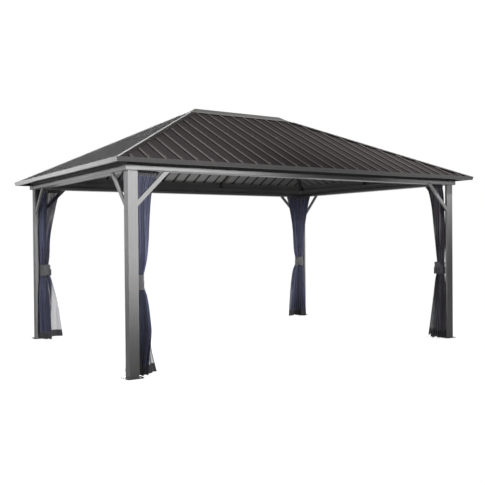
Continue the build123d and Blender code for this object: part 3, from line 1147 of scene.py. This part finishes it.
    def build(self, finish: bpy.types.Material) -> None:
        """Add the sheet and hang it.

        Args:
            finish: The netting.
        """
        node = f"curtain_{self.corner.label}"
        hem, top = (end.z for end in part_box(node))
        steps = (self.columns - 1, self.rows - 1)
        net = Bench.cloth(f"net_{self.corner.label}", steps, (self.width, self.length))
        crease = net.data.attributes.new("crease", "FLOAT", "POINT")
        levels = [level / steps[1] for level in range(self.rows)]
        rows = [self.row(hem + (top - hem) * share) for share in levels]
        for vertex in net.data.vertices:
            number = round((vertex.co.x + 0.5) * steps[0])
            level = round((vertex.co.y + 0.5) * steps[1])
            points, folds = rows[level]
            wave = 1 + math.sin(0.11 * number + self.seed)
            lift = self.ripple * (1 - levels[level]) ** 6 * wave
            point = points[number]
            vertex.co = self.corner.place(point.x, point.y, point.z + lift)
            crease.data[vertex.index].value = abs(folds[number])
        net.data.shade_smooth()
        Bench.dress(net, finish, "netting", node)

    def glider_places(self, pitch: float, height: float) -> list[Matrix]:
        """Where the gliders stand along the two tracks.

        Args:
            pitch: The distance between two gliders.
            height: The height of the net's top edge.

        Returns:
            The places, turned along the track.
        """
        line = self.centre_line(height)
        count = int(line_length(line) / pitch) + 1
        places = []
        for number in range(count):
            index = min(int((number + 0.5) / count * self.columns), self.columns - 2)
            here, after = (
                self.corner.place(line[n].x, line[n].y, height) for n in (index, index + 1)
            )
            places.append(facing(here, (after - here).normalized(), "X", "Z"))
        return places


@dataclass(frozen=True)
class Glider:
    """The glider that carries a net: a flanged stud with an eye below it."""

    pitch: float = 0.055
    stud_radius: float = 0.0028
    flange_radius: float = 0.0065
    flange_height: float = 0.0022
    flange_edge: float = 0.0006
    drop: float = 0.014
    eye_radius: float = 0.0055
    eye_wire: float = 0.0012

    def pattern(self) -> bpy.types.Object:
        """Model one glider with the top of its stud at the origin.

        Returns:
            The glider.
        """
        stud = Bench.rod(16, self.stud_radius, self.drop, -self.drop / 2)
        flange = Bench.rod(
            20, self.flange_radius, self.flange_height, -self.drop * 0.45, self.flange_edge
        )
        bpy.ops.mesh.primitive_torus_add(
            major_radius=self.eye_radius,
            minor_radius=self.eye_wire,
            major_segments=20,
            minor_segments=8,
            location=(0.0, 0.0, -self.drop - self.eye_radius * 0.7),
            rotation=(math.radians(90), 0.0, 0.0),
        )
        return Bench.together([stud, flange, bpy.context.object], "glider_pattern")


@dataclass(frozen=True)
class Tie:
    """A woven band wound round a net: two turns that overlap, and an end that stands off.

    The first turn lies at the top of the band's room, and the second steps down over it. The band
    follows the lobes of the bunched net, and is drawn in along its middle.
    """

    corner: Corner
    middle: tuple[float, float]
    leave_angle: float
    tail: float
    slant: float = 0.003
    turns: float = 2.0
    step_from: float = 0.35
    step_over: float = 0.3
    lobe: float = 0.0011
    crinkle: float = 0.0007
    pinch: float = 0.0016
    stand_off: float = 0.35
    radius: float = 0.0655
    band: float = 0.083
    lap_step: float = 0.0024
    thickness: float = 0.0014
    low: float = 0.842
    high: float = 0.993
    columns: int = 300
    rows: int = 12

    def point(self, run: float, share: float) -> Vector:
        """A point of the band.

        Args:
            run: The distance along the band from its inner end.
            share: The place across the band, from 0 at its lower edge to 1.

        Returns:
            The point in the row frame.
        """
        wound = self.turns * 2 * math.pi * self.radius
        share_wound = min(run / wound, 1.0)
        angle = self.leave_angle - 2 * math.pi * self.turns * (1 - share_wound)
        lower = max(0.0, min((share_wound - self.step_from) / self.step_over, 1.0))
        drop = (self.high - self.low - self.band) * (0.5 - 0.5 * math.cos(math.pi * lower))
        height = self.high - self.band - drop + self.band * share
        height += self.slant * math.sin(angle + 0.4)
        radius = self.radius + self.lap_step * self.turns * share_wound
        radius += self.lobe * math.sin(9 * angle + 0.7)
        radius += self.crinkle * math.sin(17 * angle + 21 * share)
        radius -= self.pinch * math.sin(math.pi * share)
        past = max(run - wound, 0.0)
        lift = self.stand_off * past * past / self.tail
        along = self.middle[0] + (radius + lift) * math.cos(angle) - past * math.sin(angle)
        inward = self.middle[1] + (radius + lift) * math.sin(angle) + past * math.cos(angle)
        height = min(max(height, self.low), self.high)
        return self.corner.place(along, inward, height)

    def build(self, finish: bpy.types.Material) -> None:
        """Add the band, with its thickness.

        Args:
            finish: The woven band.
        """
        long = self.turns * 2 * math.pi * self.radius + self.tail
        tie = Bench.cloth(
            f"tie_{self.corner.label}", (self.columns, self.rows), (long, self.band)
        )
        for vertex in tie.data.vertices:
            vertex.co = self.point((vertex.co.x + 0.5) * long, vertex.co.y + 0.5)
        Bench.modify(tie, "SOLIDIFY", thickness=self.thickness, offset=0.0)
        tie.data.shade_smooth()
        Bench.dress(tie, finish, "tie_band", "curtain_ties")


@dataclass(frozen=True)
class PhotoCamera:
    """The camera at the photograph's viewpoint, in metres, degrees and millimetres of lens."""

    place: tuple[float, float, float] = (-4.871, -7.683, 1.375)
    yaw: float = 32.608
    pitch: float = -0.676
    roll: float = -0.482
    lens: float = 50.703
    sight: float = 200.0

    def build(self) -> None:
        """Add the camera and make it the scene's."""
        yaw, pitch, roll = (math.radians(a) for a in (self.yaw, self.pitch, self.roll))
        forward = Vector(
            (math.sin(yaw) * math.cos(pitch), math.cos(yaw) * math.cos(pitch), math.sin(pitch))
        )
        level = Vector((math.cos(yaw), -math.sin(yaw), 0.0))
        upright = level.cross(forward)
        right = math.cos(roll) * level + math.sin(roll) * upright
        up = -math.sin(roll) * level + math.cos(roll) * upright
        data = bpy.data.cameras.new("photo_camera")
        data.lens = self.lens
        data.clip_end = self.sight
        camera = bpy.data.objects.new("photo_camera", data)
        camera.matrix_world = Matrix.Translation(self.place) @ (
            Matrix((right, up, -forward)).transposed().to_4x4()
        )
        bpy.context.scene.collection.objects.link(camera)
        bpy.context.scene.camera = camera


@dataclass(frozen=True)
class Lamp:
    """A soft studio spot, aimed at a point. Its power is in watts and its spread in degrees."""

    name: str
    place: tuple[float, float, float]
    target: tuple[float, float, float]
    power: float
    spread: float
    radius: float = 0.5

    def build(self) -> None:
        """Add the lamp."""
        data = bpy.data.lights.new(self.name, "SPOT")
        data.energy = self.power
        data.spot_size = math.radians(self.spread)
        data.spot_blend = 1.0
        data.shadow_soft_size = self.radius
        lamp = bpy.data.objects.new(self.name, data)
        place = Vector(self.place)
        lamp.matrix_world = facing(place, Vector(self.target) - place, "-Z", "Y")
        bpy.context.scene.collection.objects.link(lamp)
        lamp.visible_camera = False


@dataclass(frozen=True)
class Studio:
    """A pale floor, an even sky and soft lamps.

    The sky is as bright as said for the light that it casts, and white where it is seen. The floor
    has the tone said, and glows by its lift only where it is seen.
    """

    sky: float = 0.25
    floor_size: float = 90.0
    floor_tone: float = 0.5
    floor_lift: float = 0.885
    lamps: tuple[Lamp, ...] = (
        Lamp("front_lamp", (-3.0, -8.5, 3.1), (-2.2, -1.6, 2.25), 3600.0, 33.0),
        Lamp("front_right_lamp", (3.6, -8.5, 3.1), (1.9, -1.6, 2.35), 1500.0, 15.0),
        Lamp("left_lamp", (-10.0, -1.5, 3.2), (-1.5, -0.3, 2.6), 1800.0, 36.0),
        Lamp("back_left_lamp", (-6.5, 9.0, 1.6), (-2.4, 0.0, 2.8), 430.0, 17.0, radius=1.2),
        Lamp("back_lamp", (2.5, 9.5, 3.4), (0.2, 1.6, 1.9), 2000.0, 48.0),
        Lamp("front_roof_lamp", (4.5, -6.0, 6.5), (1.4, -0.7, 2.9), 3200.0, 36.0),
        Lamp("back_roof_lamp", (-3.5, 6.5, 6.5), (-0.6, 0.6, 2.8), 2000.0, 44.0),
        Lamp("right_lamp", (10.5, 1.2, 3.2), (2.3, 0.0, 1.9), 1500.0, 42.0),
        Lamp("ceiling_lamp", (-0.3, 1.15, 0.2), (-0.3, 1.15, 2.6), 74.0, 110.0),
        Lamp("net_lamp", (-1.4, -0.9, 1.1), (2.0, -1.3, 1.15), 150.0, 40.0, radius=0.3),
        Lamp("far_net_lamp", (0.2, -0.7, 0.8), (2.0, 1.35, 1.05), 160.0, 42.0, radius=0.3),
    )

    def sky_world(self) -> None:
        """Make the world, which is plain light, and white to every ray that sees it."""
        graph = Graph("studio_sky", "World")
        strength = graph.seen() * (1.0 - self.sky) + self.sky
        sky = graph.node("Background", Color=WHITE, Strength=strength)
        bpy.context.scene.world = graph.finish(sky)

    def floor(self) -> None:
        """Add the floor, which is white to the camera and keeps the object's shadow."""
        bpy.ops.mesh.primitive_plane_add(size=self.floor_size, location=(0.0, 0.0, 0.0))
        plane = bpy.context.object
        plane.name = "studio_floor"
        graph = Graph("studio_floor")
        matt = graph.node("BsdfDiffuse", Color=(self.floor_tone,) * 3)
        lift = graph.seen() * self.floor_lift
        glow = graph.node("Emission", Color=WHITE, Strength=lift)
        both = graph.node("AddShader")
        for shader, socket in zip((matt, glow), both.inputs):
            graph.tree.links.new(shader.outputs[0], socket)
        plane.data.materials.append(graph.finish(both))

    def build(self) -> None:
        """Add the floor and the light, and show colours as they are written."""
        bpy.context.scene.view_settings.view_transform = "Standard"
        self.sky_world()
        self.floor()
        for lamp in self.lamps:
            lamp.build()


def side_slope(name: str) -> bpy.types.Material:
    """The roofing steel of a short slope, greyer, with a brighter painted highlight on the crests
    and a wider painted shade against its ribs.

    Args:
        name: The material's name.

    Returns:
        The material.
    """
    return RoofSteel(
        name,
        ribs_across_x=False,
        colour=(0.045, 0.046, 0.046),
        streak=(0.07, 0.071, 0.071),
        crest=(0.62, 0.62, 0.62),
        crest_line=0.0105,
        crest_width=0.002,
        foot_line=0.02,
        foot_width=0.009,
    ).material()


def sheet_back(name: str, ribs_across_x: bool) -> bpy.types.Material:
    """The pale backing coat under a slope, with painted shade inside the hollow ribs and along
    their sides.

    Args:
        name: The material's name.
        ribs_across_x: Whether the slope is a long one.

    Returns:
        The material.
    """
    return RoofSteel(
        name,
        ribs_across_x=ribs_across_x,
        colour=(0.27, 0.265, 0.262),
        streak=(0.32, 0.315, 0.31),
        crest=(0.012, 0.012, 0.012),
        foot=(0.04, 0.04, 0.04),
        crest_line=0.0,
        crest_width=0.012,
        foot_line=0.014,
    ).material()


def finishes() -> dict[str, bpy.types.Material]:
    """Build the finish of each slot of the record, and those of the pieces that differ from it.

    Returns:
        The materials, by slot or by the first words of the piece's name.
    """
    dark = (0.018, 0.016, 0.016)
    wide = {"flap_width": 0.2, "flap_height": 0.95, "flap_cover": 0.66}
    # A lighter copy of the netting for the front-right net: painted light.
    painted_light = {"colour": (0.08, 0.075, 0.09), "worn": (0.3, 0.28, 0.33)}
    return {
        "post_coat": SatinCoat("post_coat", (0.26, 0.26, 0.26), gloss=0.08).material(),
        "foot_coat": SatinCoat("foot_coat", (0.2, 0.2, 0.2), dust_share=0.2).material(),
        "beam_coat": SatinCoat("beam_coat", (0.26, 0.26, 0.26), gloss=0.12).material(),
        "track_metal": DrawnMetal("track_metal", (0.1, 0.1, 0.105)).material(),
        "roof_coat": RoofSteel("roof_coat").material(),
        "roof_panel_left": side_slope("roof_coat_left"),
        "roof_panel_right": side_slope("roof_coat_right"),
        "sheet_back": sheet_back("sheet_back", True),
        "sheet_back_side": sheet_back("sheet_back_side", False),
        # The hip caps carry a painted highlight along the hip.
        "hip_cap": SatinCoat("hip_cap_coat", dark, 0.5, gloss=0.02, hip_crest=0.9).material(),
        "ridge_cap": SatinCoat("ridge_cap_coat", (0.04, 0.036, 0.035)).material(),
        # The rafters and the ridge beam inside take darker copies of the beam coat: painted shade
        # under the roof.
        "hip_rafter": SatinCoat("hip_rafter_coat", (0.06, 0.055, 0.055)).material(),
        "common_rafters": SatinCoat("rafter_coat", (0.05, 0.045, 0.045)).material(),
        "ridge_beam": SatinCoat("ridge_beam_coat", (0.05, 0.045, 0.045)).material(),
        "trim_coat": SatinCoat("trim_coat", dark, 0.3, gloss=0.8, lap=0.66).material(),
        "netting": Netting("netting", Net.length).material(),
        "wide_netting": Netting("wide_netting", Net.length, **wide).material(),
        "faded_netting": Netting("faded_netting", Net.length, **painted_light).material(),
        "tie_band": WovenBand("tie_band", Tie.band).material(),
    }


def hung_nets() -> tuple[Net, ...]:
    """Set out the four nets, with each wing's reach from the bundle's middle, height by height.

    Returns:
        The nets.
    """
    return (
        Net(
            Corner.FRONT_LEFT,
            (0.138, 0.122),
            (0.215, 0.155, 0.135, 0.1, 0.036, 0.09, 0.112, 0.122, 0.145, 0.176, 0.23),
            (0.2, 0.15, 0.115, 0.08, 0.032, 0.07, 0.095, 0.12, 0.16, 0.2, 0.245),
            0.4,
            flap=0.15,
        ),
        Net(
            Corner.FRONT_RIGHT,
            (0.114, 0.116),
            (0.165, 0.145, 0.09, 0.05, 0.03, 0.045, 0.06, 0.085, 0.11, 0.14, 0.23),
            (0.19, 0.15, 0.11, 0.07, 0.03, 0.05, 0.08, 0.11, 0.15, 0.19, 0.235),
            1.7,
            # This net takes the lighter copy of the netting: painted light.
            cloth="faded_netting",
            tie_leaves=-57.0,
            tie_tail=0.105,
        ),
        Net(
            Corner.BACK_LEFT,
            (0.122, 0.124),
            (0.23, 0.195, 0.155, 0.085, 0.03, 0.05, 0.07, 0.1, 0.15, 0.19, 0.235),
            (0.2, 0.17, 0.13, 0.08, 0.03, 0.05, 0.08, 0.1, 0.14, 0.18, 0.24),
            2.9,
            cloth="wide_netting",
            flap=0.19,
            flap_height=0.85,
        ),
        Net(
            Corner.BACK_RIGHT,
            (0.148, 0.118),
            (0.21, 0.19, 0.16, 0.11, 0.034, 0.08, 0.1, 0.12, 0.155, 0.19, 0.225),
            (0.12, 0.09, 0.07, 0.05, 0.03, 0.05, 0.07, 0.11, 0.16, 0.2, 0.24),
            4.3,
        ),
    )


def main() -> None:
    """Build the whole scene."""
    logging.basicConfig(level=logging.INFO, format="%(message)s")
    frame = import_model()
    nodes = frame["nodes"]
    Studio().build()
    PhotoCamera().build()
    coats = finishes()
    for row in frame["record"]["subparts"]:
        name, slot = row["node"], row["material_slot"]
        if slot in SOFT_SLOTS:
            continue
        finish = next((coats[key] for key in coats if name.startswith(key)), coats[slot])
        if name.startswith("roof_panel"):
            back = "sheet_back_side" if name.endswith(("left", "right")) else "sheet_back"
            FrameMember(name, slot, edge=0.0008).build(nodes[name], finish, coats[back])
        else:
            FrameMember(name, slot).build(nodes[name], finish)
    RoofScrews().build(nodes, coats["trim_coat"])
    glider = Glider()
    pattern = glider.pattern()
    for net in hung_nets():
        net.build(coats[net.cloth])
        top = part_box(f"curtain_{net.corner.label}")[1].z
        places = net.glider_places(glider.pitch, top)
        gliders = Bench.repeat(pattern, f"gliders_{net.corner.label}", places)
        Bench.dress(gliders, coats["track_metal"], "track_metal")
        tie = Tie(net.corner, net.middle, math.radians(net.tie_leaves), net.tie_tail)
        tie.build(coats["tie_band"])
    bpy.data.objects.remove(pattern)


if __name__ == "__main__":
    main()
